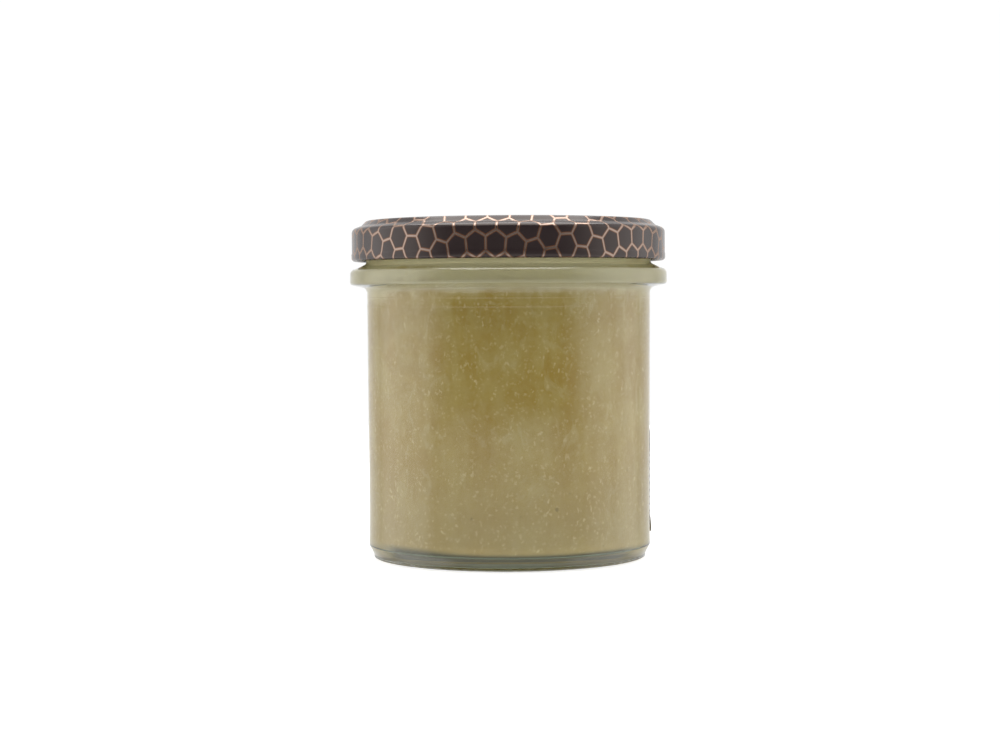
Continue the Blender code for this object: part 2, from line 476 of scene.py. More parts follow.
@dataclass(frozen=True)
class HoneyFinish:
    """Creamy set honey, olive beige, with cloudy mottling, pale crystals and upright streaks.

    Scales are features to the metre. A span runs from where its tone begins to where it is full.
    """

    deep: Colour = (0.488, 0.339, 0.089)
    pale: Colour = (0.575, 0.456, 0.176)
    cloud_scale: float = 85.0
    streak_scale: float = 260.0
    streak_squeeze: float = 0.22
    fine_scale: float = 700.0
    mottle_shares: tuple[float, float, float] = (0.55, 0.30, 0.15)
    mottle: Span = (0.36, 0.64)
    wander: float = 10.0 * MM
    wisp: Colour = (0.65, 0.565, 0.285)
    wisp_scale: float = 190.0
    wisp_squeeze: float = 0.55
    wisp_span: Span = (0.54, 0.70)
    wisp_share: float = 0.45
    # Pale band at the top: partly froth, partly painted light that lifts the shade under the lid; it fades
    # and drops at the sides.
    froth_and_painted_light: Colour = (0.80, 0.715, 0.455)
    froth_and_painted_light_level: Span = (70.8 * MM, 76.5 * MM)
    froth_and_painted_light_share: float = 0.9
    sides: Span = (0.72, 0.95)
    side_loss: float = 0.22
    side_drop: float = 2.8 * MM
    # Painted light: a paler, even tone low down that lifts the shade near the floor.
    painted_bottom_lift: Colour = (0.500, 0.397, 0.182)
    painted_bottom_lift_level: Span = (34.0 * MM, 8.0 * MM)
    painted_bottom_lift_share: float = 0.5
    crystal: Colour = (0.76, 0.67, 0.35)
    crystal_squeeze: float = 0.65
    crystal_share: float = 0.68
    grain_share: float = 0.7
    gather_scale: float = 70.0
    gather: Span = (0.16, 0.48)
    speck: Colour = (0.30, 0.22, 0.08)
    speck_level: Span = (34.0 * MM, 12.0 * MM)
    # Painted shade and light on the honey's floor, as the foot's thick glass shows it: dark painted shade in
    # front, painted side light towards left and right.
    floor_painted_shade: Colour = (0.115, 0.11, 0.055)
    floor_painted_side_light: Colour = (0.46, 0.38, 0.19)
    rim_sides: Span = (0.80, 0.94)
    floor_painted_ring_shade: Colour = (0.34, 0.27, 0.105)
    ring_radius: Span = (30.8 * MM, 29.2 * MM)
    floor_painted_middle_shade: Colour = (0.42, 0.42, 0.30)
    middle_sides: Span = (0.35, 0.80)
    middle_radius: Span = (25.5 * MM, 23.5 * MM)
    floor_radius: Span = (35.7 * MM, 33.7 * MM)
    floor_height: Span = (6.0 * MM, 4.2 * MM)
    floor_rise: float = 0.8 * MM
    rise_side: Span = (-0.15, -0.75)
    roughness: float = 0.6
    relief: Relief = Relief(180.0, 1200.0, 0.4, 0.2 * MM, 0.4)

    def material(self, effects: Effects) -> bpy.types.Material:
        """Makes the honey.

        Args:
            effects: The shared node groups.

        Returns:
            The material.
        """
        sketch = MaterialSketch("creamy set honey")
        place = sketch.solid_place()
        right, _, height = sketch.apart(place)
        radius = sketch.vector("LENGTH", sketch.squeezed(place, 0.0), output="Value")
        cloud = sketch.noise(place, self.cloud_scale, Detail=4.0, Roughness=0.6)
        level = sketch.plus(height, sketch.times(sketch.minus(cloud, 0.5), self.wander))
        across = sketch.math("DIVIDE", right, radius)
        at = HoneyPoint(place, height, radius, across, cloud, level)
        colour = self.mottled(sketch, at)
        # froth and painted light at the top, painted light at the bottom
        colour = self.banded_with_painted_light(sketch, at, colour)
        colour = self.flecked(sketch, at, colour, effects.flecks)
        # painted shade and side light on the honey's floor
        colour = self.paint_floor_shade(sketch, at, colour)
        sketch.dress(Base_Color=colour, Roughness=self.roughness, Specular_IOR_Level=0.0)
        sketch.ripple(effects, place, self.relief)
        return sketch.material

    def mottled(self, sketch: NodeSketch, at: HoneyPoint) -> Socket:
        """Mixes the two honey tones in clouds and upright streaks, with pale wisps.

        Args:
            sketch: The material's sketch.
            at: The point.

        Returns:
            The colour.
        """
        tall = sketch.squeezed(at.place, self.streak_squeeze)
        streak = sketch.noise(tall, self.streak_scale, Detail=3.0, Roughness=0.55)
        fine = sketch.noise(at.place, self.fine_scale, Detail=3.0, Roughness=0.6)
        parts = zip((at.cloud, streak, fine), self.mottle_shares)
        clouds, streaks, grain = (sketch.times(part, share) for part, share in parts)
        mixed = sketch.plus(sketch.plus(clouds, streaks), grain)
        colour = sketch.blend(sketch.fade(mixed, *self.mottle), self.deep, self.pale)
        slender = sketch.squeezed(at.place, self.wisp_squeeze)
        curl = sketch.noise(slender, self.wisp_scale, Detail=4.0, Roughness=0.62, Distortion=1.6)
        wisps = sketch.times(sketch.fade(curl, *self.wisp_span), self.wisp_share)
        return sketch.blend(wisps, colour, self.wisp)

    def banded_with_painted_light(self, sketch: NodeSketch, at: HoneyPoint, colour: Socket) -> Socket:
        """Lays a pale band at the top, partly froth and partly painted light that lifts the shade under the
        lid, and painted light at the bottom that lifts the shade near the floor.

        Args:
            sketch: The material's sketch.
            at: The point.
            colour: The colour so far.

        Returns:
            The colour.
        """
        side = sketch.fade(sketch.math("ABSOLUTE", at.across), *self.sides)
        most = sketch.minus(self.froth_and_painted_light_share, sketch.times(side, self.side_loss))
        lower = sketch.plus(at.level, sketch.times(side, self.side_drop))
        froth_and_painted_light = sketch.times(sketch.fade(lower, *self.froth_and_painted_light_level), most)
        colour = sketch.blend(froth_and_painted_light, colour, self.froth_and_painted_light)
        # painted light low down, lifting the shade near the floor
        painted_bottom_lift = sketch.times(sketch.fade(at.level, *self.painted_bottom_lift_level), self.painted_bottom_lift_share)
        return sketch.blend(painted_bottom_lift, colour, self.painted_bottom_lift)

    def flecked(self, sketch: NodeSketch, at: HoneyPoint, colour: Socket, flecks: EffectGroup) -> Socket:
        """Scatters pale crystals all over and a few dark specks low down.

        Args:
            sketch: The material's sketch.
            at: The point.
            colour: The colour so far.
            flecks: The node group of the flecks.

        Returns:
            The colour.
        """
        tall = sketch.squeezed(at.place, self.crystal_squeeze)
        crystals = flecks.put(sketch, tall, Scale=600.0, Size=0.25, Crowding=0.9, Core=0.6)["Mask"]
        grains = flecks.put(sketch, at.place, Scale=1000.0, Size=0.40, Crowding=0.7, Core=0.5)["Mask"]
        specks = flecks.put(sketch, at.place, Scale=330.0, Size=0.17, Crowding=0.22, Waviness=0.4)["Mask"]
        gather = sketch.fade(sketch.noise(at.place, self.gather_scale, Detail=3.0), *self.gather)
        light = sketch.math("MAXIMUM", crystals, sketch.times(grains, self.grain_share))
        colour = sketch.blend(sketch.times(light, gather, self.crystal_share), colour, self.crystal)
        low_specks = sketch.times(specks, sketch.fade(at.level, *self.speck_level))
        return sketch.blend(low_specks, colour, self.speck)

    def paint_floor_shade(self, sketch: NodeSketch, at: HoneyPoint, colour: Socket) -> Socket:
        """Paints shade and light on the honey's floor in rings, as it is seen through the foot's thick
        glass: dark painted shade in front, lighter painted side light towards left and right.

        Args:
            sketch: The material's sketch.
            at: The point.
            colour: The colour so far.

        Returns:
            The colour.
        """
        aside = sketch.math("ABSOLUTE", at.across)
        tone = sketch.blend(sketch.fade(aside, *self.rim_sides), self.floor_painted_shade, self.floor_painted_side_light)
        tone = sketch.blend(sketch.fade(at.radius, *self.ring_radius), tone, self.floor_painted_ring_shade)
        middle = sketch.blend(sketch.fade(aside, *self.middle_sides), self.floor_painted_middle_shade, self.floor_painted_ring_shade)
        tone = sketch.blend(sketch.fade(at.radius, *self.middle_radius), tone, middle)
        rise = sketch.times(sketch.fade(at.across, *self.rise_side), self.floor_rise)
        inner = sketch.fade(sketch.minus(at.radius, rise), *self.floor_radius)
        low = sketch.fade(sketch.minus(at.height, rise), *self.floor_height)
        return sketch.blend(sketch.times(low, inner), colour, tone)


@dataclass(frozen=True)
class LacquerFinish:
    """Near-black brown lacquer with a thin copper honeycomb print."""

    ground: Colour = (0.0205, 0.0142, 0.0142)
    ground_roughness: float = 0.20
    gloss: float = 0.30
    gloss_tint: Colour = (1.0, 0.88, 0.80)
    scuff_scale: float = 180.0
    scuff_share: float = 0.10
    copper: Colour = (0.246, 0.185, 0.154)
    copper_roughness: float = 0.30
    copper_relief: float = 0.25
    halo: Colour = (0.22, 0.082, 0.024)
    halo_share: float = 0.6
    cell: float = 5.713 * MM
    line: float = 0.46 * MM
    softness: float = 0.08 * MM
    relief: Relief = Relief(140.0, 1500.0, 0.3, 0.02 * MM, 0.6)

    def material(self, effects: Effects) -> bpy.types.Material:
        """Makes the printed lacquer.

        Args:
            effects: The shared node groups.

        Returns:
            The material.
        """
        sketch = MaterialSketch("printed dark lacquer")
        numbers = {"Cell": self.cell, "Line": self.line, "Softness": self.softness}
        comb = effects.honeycomb.put(sketch, sketch.sheet_place(), **numbers)
        lines = comb["Lines"]
        ground = sketch.blend(sketch.times(comb["Halo"], self.halo_share), self.ground, self.halo)
        place = sketch.solid_place()
        scuff = sketch.noise(place, self.scuff_scale, Detail=4.0, Roughness=0.65)
        rough = sketch.blend_numbers(lines, self.ground_roughness, self.copper_roughness)
        rough = sketch.plus(rough, sketch.times(sketch.minus(scuff, 0.5), self.scuff_share))
        sketch.dress(Base_Color=sketch.blend(lines, ground, self.copper), Metallic=lines, Roughness=rough)
        sketch.dress(Specular_IOR_Level=self.gloss, Specular_Tint=self.gloss_tint)
        sketch.ripple(effects, place, self.relief, sketch.times(lines, self.copper_relief))
        return sketch.material


@dataclass(frozen=True)
class PaperFinish:
    """White coated paper with a dark header, plain bars in place of small print, and a dotted edge."""

    paper: Colour = (0.62, 0.62, 0.60)
    roughness: float = 0.45
    fibre_share: float = 0.08
    ink: Colour = (0.045, 0.036, 0.034)
    bar_ink: Colour = (0.22, 0.21, 0.20)
    copper: Colour = (0.30, 0.17, 0.11)
    header: Span = (22.2 * MM, 28.2 * MM)
    gap: Span = (25.9 * MM, 26.4 * MM)
    bars: Span = (4.6 * MM, 19.6 * MM)
    bar_pitch: float = 2.5 * MM
    bar_height: float = 0.8 * MM
    bar_margin: float = 7.0 * MM
    bar_shortest: float = 0.55
    bar_spread: float = 0.35
    dots: Span = (4.0 * MM, 21.4 * MM)
    dot_pitch: float = 1.9 * MM
    dot_height: float = 0.5 * MM
    dot_width: float = 0.5 * MM
    relief: Relief = Relief(300.0, 3000.0, 0.6, 0.02 * MM, 0.5)

    def between(self, sketch: NodeSketch, value: object, limits: Span) -> Socket:
        """Masks the stretch between two limits."""
        above = sketch.math("GREATER_THAN", value, limits[0])
        return sketch.times(above, sketch.math("LESS_THAN", value, limits[1]))

    def rows(self, sketch: NodeSketch, up: object, pitch: float, height: float) -> Socket:
        """Masks level rows of one height and one pitch."""
        return sketch.math("LESS_THAN", sketch.math("FLOORED_MODULO", up, pitch), height)

    def bar_mask(self, sketch: NodeSketch, along: object, up: object, width: float) -> Socket:
        """Masks three columns of bars, whose rows end unevenly as lines of small print do.

        Args:
            sketch: The material's sketch.
            along: The socket of the place along the label.
            up: The socket of the height on the label.
            width: The label's width.

        Returns:
            The mask's socket.
        """
        column_width = (width - 2.0 * self.bar_margin) / 3.0
        inside = self.between(sketch, along, (self.bar_margin, width - self.bar_margin))
        shifted = sketch.minus(along, self.bar_margin)
        column = sketch.math("FLOOR", sketch.math("DIVIDE", shifted, column_width))
        row = sketch.math("FLOOR", sketch.math("DIVIDE", up, self.bar_pitch))
        cell = sketch.fill(sketch.add("ShaderNodeCombineXYZ"), X=column, Y=row)
        chance = sketch.add("ShaderNodeTexWhiteNoise", noise_dimensions="3D")
        sketch.fill(chance, Vector=cell.outputs["Vector"])
        length = sketch.plus(self.bar_shortest, sketch.times(chance.outputs["Value"], self.bar_spread))
        reach = sketch.math("DIVIDE", sketch.math("FLOORED_MODULO", shifted, column_width), column_width)
        printed = sketch.times(inside, sketch.math("LESS_THAN", reach, length))
        rows = self.rows(sketch, up, self.bar_pitch, self.bar_height)
        return sketch.times(printed, self.between(sketch, up, self.bars), rows)

    def dot_mask(self, sketch: NodeSketch, along: object, up: object, width: float) -> Socket:
        """Masks a dotted line along both upright edges.

        Args:
            sketch: The material's sketch.
            along: The socket of the place along the label.
            up: The socket of the height on the label.
            width: The label's width.

        Returns:
            The mask's socket.
        """
        from_middle = sketch.math("ABSOLUTE", sketch.minus(along, width / 2.0))
        edge = sketch.math("GREATER_THAN", from_middle, width / 2.0 - self.dot_width)
        rows = self.rows(sketch, up, self.dot_pitch, self.dot_height)
        return sketch.times(edge, self.between(sketch, up, self.dots), rows)

    def material(self, effects: Effects, width: float) -> bpy.types.Material:
        """Makes the paper.

        Args:
            effects: The shared node groups.
            width: The label's width along the glass.

        Returns:
            The material.
        """
        sketch = MaterialSketch("label paper")
        along, up, _ = sketch.apart(sketch.sheet_place())
        place = sketch.solid_place()
        fibres = effects.flecks.put(sketch, place, Scale=900.0, Size=0.35, Crowding=0.35)["Mask"]
        prints = (
            (sketch.times(fibres, self.fibre_share), self.bar_ink),
            (self.bar_mask(sketch, along, up, width), self.bar_ink),
            (self.dot_mask(sketch, along, up, width), self.ink),
            (self.between(sketch, up, self.header), self.ink),
            (self.between(sketch, up, self.gap), self.copper),
        )
        colour = self.paper
        for mask, ink in prints:
            colour = sketch.blend(mask, colour, ink)
        sketch.dress(Base_Color=colour, Roughness=self.roughness)
        sketch.ripple(effects, place, self.relief)
        return sketch.material


@dataclass(frozen=True)
class FloorFinish:
    """White studio paper, which glows so that it is as white as the room behind."""

    white: Colour = (0.55, 0.55, 0.55)
    grain: Colour = (0.539, 0.539, 0.539)
    grain_swell: float = 8.0
    grain_tooth: float = 600.0
    roughness: float = 0.9
    gloss: float = 0.1
    glow: Colour = (1.0, 1.0, 1.0)
    glow_strength: float = 0.8

    def material(self, effects: Effects) -> bpy.types.Material:
        """Makes the paper of the floor.

        Args:
            effects: The shared node groups.

        Returns:
            The material.
        """
        sketch = MaterialSketch("studio paper")
        numbers = {"Swell": self.grain_swell, "Tooth": self.grain_tooth, "Tooth_Share": 0.5}
        grain = effects.ripple.put(sketch, sketch.solid_place(), **numbers)["Height"]
        colour = sketch.blend(grain, self.grain, self.white)
        sketch.dress(Base_Color=colour, Roughness=self.roughness, Specular_IOR_Level=self.gloss)
        sketch.dress(Emission_Color=self.glow, Emission_Strength=self.glow_strength)
        return sketch.material


@dataclass
class Outline:
    """A turned outline made of corners, each a radius, a height and a rounding."""

    corners: list[Corner]
    arc_step: float = math.radians(9.0)

    def points(self) -> list[Point]:
        """Replaces every rounded corner by an arc tangent to both of its sides.

        Returns:
            The outline's points as radius and height.
        """
        outline = []
        for index, (r, z, rounding) in enumerate(self.corners):
            if rounding == 0.0 or index in (0, len(self.corners) - 1):
                outline.append((r, z))
                continue
            before, after = self.corners[index - 1], self.corners[index + 1]
            heading_in = math.atan2(z - before[1], r - before[0])
            heading_out = math.atan2(after[1] - z, after[0] - r)
            turn = math.remainder(heading_out - heading_in, math.tau)
            reach = rounding * math.tan(abs(turn) / 2.0)
            side = math.copysign(math.pi / 2.0, turn)
            start = Vector((r, z)) - reach * Vector((math.cos(heading_in), math.sin(heading_in)))
            centre = start + rounding * Vector((math.cos(heading_in + side), math.sin(heading_in + side)))
            steps = max(2, math.ceil(abs(turn) / self.arc_step))
            for step in range(steps + 1):
                angle = heading_in - side + turn * step / steps
                across, up = rounding * math.cos(angle), rounding * math.sin(angle)
                outline.append((centre.x + across, centre.y + up))
        return outline

    def dense_points(self, longest: float) -> list[Point]:
        """Splits the outline's long straight stretches.

        Args:
            longest: The longest stretch that stays whole.

        Returns:
            The points, with more of them on straight stretches.
        """
        points = self.points()
        dense = [points[0]]
        for (r0, z0), (r1, z1) in zip(points, points[1:]):
            pieces = max(1, math.ceil(math.hypot(r1 - r0, z1 - z0) / longest))
            for piece in range(1, pieces + 1):
                share = piece / pieces
                dense.append((r0 + (r1 - r0) * share, z0 + (z1 - z0) * share))
        return dense


def turn_mesh(name: str, points: list[Point], segments: int) -> bpy.types.Mesh:
    """Turns an outline that starts and ends on the axis into a closed mesh.

    Args:
        name: The mesh's name.
        points: The outline, running down its outer side.
        segments: Facets round the axis.

    Returns:
        The mesh, shaded smooth.
    """
    vertices: list[tuple[float, float, float]] = []
    rings: list[list[int]] = []
    for r, z in points:
        first = len(vertices)
        if r < ON_AXIS:
            vertices.append((0.0, 0.0, z))
            rings.append([first] * segments)
            continue
        for step in range(segments):
            angle = math.tau * step / segments
            vertices.append((r * math.cos(angle), r * math.sin(angle), z))
        rings.append(list(range(first, first + segments)))
    faces = []
    for upper, lower in zip(rings, rings[1:]):
        for step in range(segments):
            beside = (step + 1) % segments
            loop = [upper[step], lower[step], lower[beside], upper[beside]]
            faces.append(list(dict.fromkeys(loop)))
    mesh = bpy.data.meshes.new(name)
    mesh.from_pydata(vertices, [], faces)
    mesh.shade_smooth()
    mesh.validate()
    return mesh


def add_object(name: str, data: bpy.types.ID) -> bpy.types.Object:
    """Makes an object and links it to the scene.

    Args:
        name: The object's name.
        data: Its mesh, light or camera.

    Returns:
        The object.
    """
    made = bpy.data.objects.new(name, data)
    bpy.context.scene.collection.objects.link(made)
    return made


def add_piece(
    mesh: bpy.types.Mesh, material: bpy.types.Material, node: str
) -> bpy.types.Object:
    """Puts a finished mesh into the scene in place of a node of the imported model.

    Args:
        mesh: The piece's mesh.
        material: Its finish.
        node: The node that it stands for.

    Returns:
        The piece.
    """
    mesh.materials.append(material)
    piece = add_object(mesh.name, mesh)
    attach(piece, BODY)
    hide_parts(node)
    return piece


class TurnedPiece:
    """A piece turned round the jar's axis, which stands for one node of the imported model."""

    name: ClassVar[str]
    node: ClassVar[str]
    slot: ClassVar[Slot]
    longest_stretch: ClassVar[float]
    segments: int
    finish: GlassFinish | HoneyFinish | LacquerFinish

    def corners(self) -> list[Corner]:
        """Lists the outline's corners."""
        raise NotImplementedError

    def mark(self, mesh: bpy.types.Mesh, points: list[Point]) -> None:
        """Stores on the mesh what its finish reads there, which is nothing for most pieces."""

    def build(self, effects: Effects) -> bpy.types.Object:
        """Builds the piece.

        Args:
            effects: The shared node groups.

        Returns:
            The piece.
        """
        points = Outline(self.corners()).dense_points(self.longest_stretch)
        mesh = turn_mesh(self.name, points, self.segments)
        self.mark(mesh, points)
        return add_piece(mesh, self.finish.material(effects), self.node)


@dataclass
class GlassJar(TurnedPiece):
    """The clear jar: bore, rim, neck, collar, shoulder ring, body, stepped heel, foot and punt."""

    name: ClassVar[str] = "glass_jar"
    node: ClassVar[str] = "jar"
    slot: ClassVar[Slot] = Slot.GLASS
    longest_stretch: ClassVar[float] = 1.5 * MM

    neck_radius: float = 38.9 * MM
    neck_base: float = 80.5 * MM
    ring_top: float = 78.6 * MM
    ring_bottom: float = 74.85 * MM
    ring_underside: float = 73.9 * MM
    body_top_radius: float = 38.7 * MM
    waist_radius: float = 38.4 * MM
    waist: float = 14.0 * MM
    heel_radius: float = 38.55 * MM
    heel: float = 3.9 * MM
    foot_top: float = 1.5 * MM
    foot_radius: float = 37.3 * MM
    foot_knee: float = 0.65 * MM
    contact_outer: float = 34.0 * MM
    contact_inner: float = 31.5 * MM
    punt_radius: float = 29.8 * MM
    punt_edge: float = 0.9 * MM
    punt_centre: float = 1.2 * MM
    floor_edge: float = 3.9 * MM
    floor_centre: float = 4.1 * MM
    floor_corner: float = 3.0 * MM
    bore_bottom_radius: float = 35.8 * MM
    bore_top_radius: float = 36.1 * MM
    bead_heights: tuple[float, ...] = (71.2 * MM, 68.9 * MM)
    bead_width: float = 0.5 * MM
    bead_rise: float = 0.09 * MM
    bead_rounding: float = 0.1 * MM
    segments: int = 256
    finish: GlassFinish = field(default_factory=GlassFinish)

    def body_radius(self, height: float) -> float:
        """Gives the outer radius of the body.

        Args:
            height: The height above the table.

        Returns:
            The radius of the glass there.
        """
        if height < self.waist:
            share = (height - self.heel) / (self.waist - self.heel)
            return self.heel_radius + (self.waist_radius - self.heel_radius) * share
        share = (height - self.waist) / (self.ring_underside - self.waist)
        return self.waist_radius + (self.body_top_radius - self.waist_radius) * share

    def bead(self, height: float) -> list[Corner]:
        """Gives the corners of one fine mould line round the body.

        Args:
            height: Where the line runs.

        Returns:
            Three corners, from above the line to below it.
        """
        radius = self.body_radius(height)
        half = self.bead_width / 2.0
        return [
            (radius, height + half, self.bead_rounding),
            (radius + self.bead_rise, height, self.bead_rounding),
            (radius, height - half, self.bead_rounding),
        ]

    def corners(self) -> list[Corner]:
        """Lists the outline's corners, up the bore, over the rim and down the outside.

        Returns:
            The corners.
        """
        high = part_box("jar")[1]
        ring_radius, rim_top = high.x, high.z
        beads = [corner for height in self.bead_heights for corner in self.bead(height)]
        return [
            (0.0, self.floor_centre, 0.0),
            (self.bore_bottom_radius, self.floor_edge, self.floor_corner),
            (self.bore_top_radius, rim_top, 1.0 * MM),
            (self.neck_radius, rim_top, 1.2 * MM),
            (self.neck_radius, self.neck_base, 0.8 * MM),
            (ring_radius, self.ring_top, 1.4 * MM),
            (ring_radius, self.ring_bottom, 1.0 * MM),
            (self.body_top_radius, self.ring_underside, 1.7 * MM),
            *beads,
            (self.waist_radius, self.waist, 20.0 * MM),
            (self.heel_radius, self.heel, 0.9 * MM),
            (self.foot_radius, self.foot_top, 0.8 * MM),
            (self.foot_radius, self.foot_knee, 0.4 * MM),
            (self.contact_outer, 0.0, 0.8 * MM),
            (self.contact_inner, 0.0, 0.8 * MM),
            (self.punt_radius, self.punt_edge, 1.5 * MM),
            (0.0, self.punt_centre, 0.0),
        ]


@dataclass
class HoneyFill(TurnedPiece):
    """The set honey, which reaches just into the glass so that no air shows."""

    name: ClassVar[str] = "honey_fill"
    node: ClassVar[str] = "honey"
    slot: ClassVar[Slot] = Slot.HONEY
    longest_stretch: ClassVar[float] = 2.0 * MM

    jar: GlassJar
    into_glass: float = 0.08 * MM
    edge_rounding: float = 0.8 * MM
    crown: float = 0.6 * MM
    crown_reach: float = 0.55
    crown_share: float = 0.3
    crown_rounding: float = 30.0 * MM
    segments: int = 192
    finish: HoneyFinish = field(default_factory=HoneyFinish)

    def corners(self) -> list[Corner]:
        """Lists the corners, from the middle of the surface down the wall to the middle of the floor.

        Returns:
            The corners.
        """
        jar = self.jar
        rim_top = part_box("jar")[1].z
        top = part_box("honey")[1].z
        share = (top - jar.floor_edge) / (rim_top - jar.floor_edge)
        top_radius = jar.bore_bottom_radius + (jar.bore_top_radius - jar.bore_bottom_radius) * share
        return [
            (0.0, top, 0.0),
            (top_radius * self.crown_reach, top - self.crown * self.crown_share, self.crown_rounding),
            (top_radius + self.into_glass, top - self.crown, self.edge_rounding),
            (
                jar.bore_bottom_radius + self.into_glass,
                jar.floor_edge - self.into_glass,
                jar.floor_corner + self.into_glass,
            ),
            (0.0, jar.floor_centre - self.into_glass, 0.0),
        ]


@dataclass
class ScrewLid(TurnedPiece):
    """The pressed metal lid: button, panel, raised rim, ledge, shoulder, skirt and rolled curl."""

    name: ClassVar[str] = "screw_lid"
    node: ClassVar[str] = "lid"
    slot: ClassVar[Slot] = Slot.LID
    longest_stretch: ClassVar[float] = 0.8 * MM

    skirt_radius: float = 42.75 * MM
    shoulder_corner: float = 89.85 * MM
    shoulder_round: float = 1.45 * MM
    ledge_radius: float = 40.2 * MM
    ledge: float = 90.8 * MM
    raised_outer: float = 38.8 * MM
    raised_inner: float = 34.4 * MM
    panel_radius: float = 33.1 * MM
    panel: float = 91.4 * MM
    button_radius: float = 13.5 * MM
    button_slope: float = 1.5 * MM
    button: float = 91.1 * MM
    curl_top: float = 83.4 * MM
    curl_width: float = 1.9 * MM
    sheet: float = 0.3 * MM
    seal_outer: float = 39.2 * MM
    seal_under: float = 91.2 * MM
    comb_shift: Point = (2.664 * MM, -47.91 * MM)
    comb_turn: float = -0.1305
    segments: int = 288
    finish: LacquerFinish = field(default_factory=LacquerFinish)

    def corners(self) -> list[Corner]:
        """Lists the corners, from the middle of the top out to the skirt, round the curl and back inside.

        Returns:
            The corners.
        """
        low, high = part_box("lid")
        curl_radius, top, bottom = high.x, high.z, low.z
        inner = self.skirt_radius - self.sheet
        curl_inner = curl_radius - self.curl_width
        curl_roof = bottom + self.curl_width
        roll = self.curl_width / 2.0 - 0.01 * MM    # the curl's two arcs all but meet
        return [
            (0.0, self.button, 0.0),
            (self.button_radius, self.button, 1.5 * MM),
            (self.button_radius + self.button_slope, self.panel, 1.5 * MM),
            (self.panel_radius, self.panel, 0.6 * MM),
            (self.raised_inner, top, 0.8 * MM),
            (self.raised_outer, top, 1.0 * MM),
            (self.ledge_radius, self.ledge, 0.8 * MM),
            (self.skirt_radius, self.shoulder_corner, self.shoulder_round),
            (self.skirt_radius, self.curl_top, 0.5 * MM),
            (curl_radius, self.curl_top - 0.4 * MM, 0.5 * MM),
            (curl_radius, bottom, roll),
            (curl_inner, bottom, roll),
            (curl_inner, curl_roof, 0.6 * MM),
            (inner, curl_roof, 0.0),
            (inner, self.shoulder_corner - self.sheet, self.shoulder_round - self.sheet),
            (self.seal_outer, self.ledge - self.sheet, 0.0),
            (self.seal_outer, self.seal_under, 0.0),
            (self.raised_inner, self.seal_under, 0.0),
            (self.panel_radius, self.panel - self.sheet, 0.0),
            (0.0, self.button - self.sheet, 0.0),
        ]

    def print_radii(self, points: list[Point]) -> list[float]:
        """Works out how far from the middle each point lay on the flat sheet before it became a lid.

        The metal keeps its area, so a flat disc has the area of the formed surface inside its rim.

        Args:
            points: The lid's outline.

        Returns:
            A flat radius for every point.
        """
        doubled_area = 0.0
        flat = [points[0][0]]
        for (r0, z0), (r1, z1) in zip(points, points[1:]):
            doubled_area += (r0 + r1) * math.hypot(r1 - r0, z1 - z0)
            flat.append(math.sqrt(doubled_area))
        return flat

    def mark(self, mesh: bpy.types.Mesh, points: list[Point]) -> None:
        """Stores where each point lies on the printed sheet.

        Args:
            mesh: The lid's mesh.
            points: The lid's outline.
        """
        place = mesh.attributes.new(SHEET_PLACE, "FLOAT_VECTOR", "POINT")
        middle = Vector((*self.comb_shift, 0.0))
        index = 0
        for (r, _), flat in zip(points, self.print_radii(points)):
            for step in range(1 if r < ON_AXIS else self.segments):
                angle = math.tau * step / self.segments - self.comb_turn
                here = Vector((flat * math.cos(angle), flat * math.sin(angle), 0.0))
                place.data[index].vector = here - middle
                index += 1


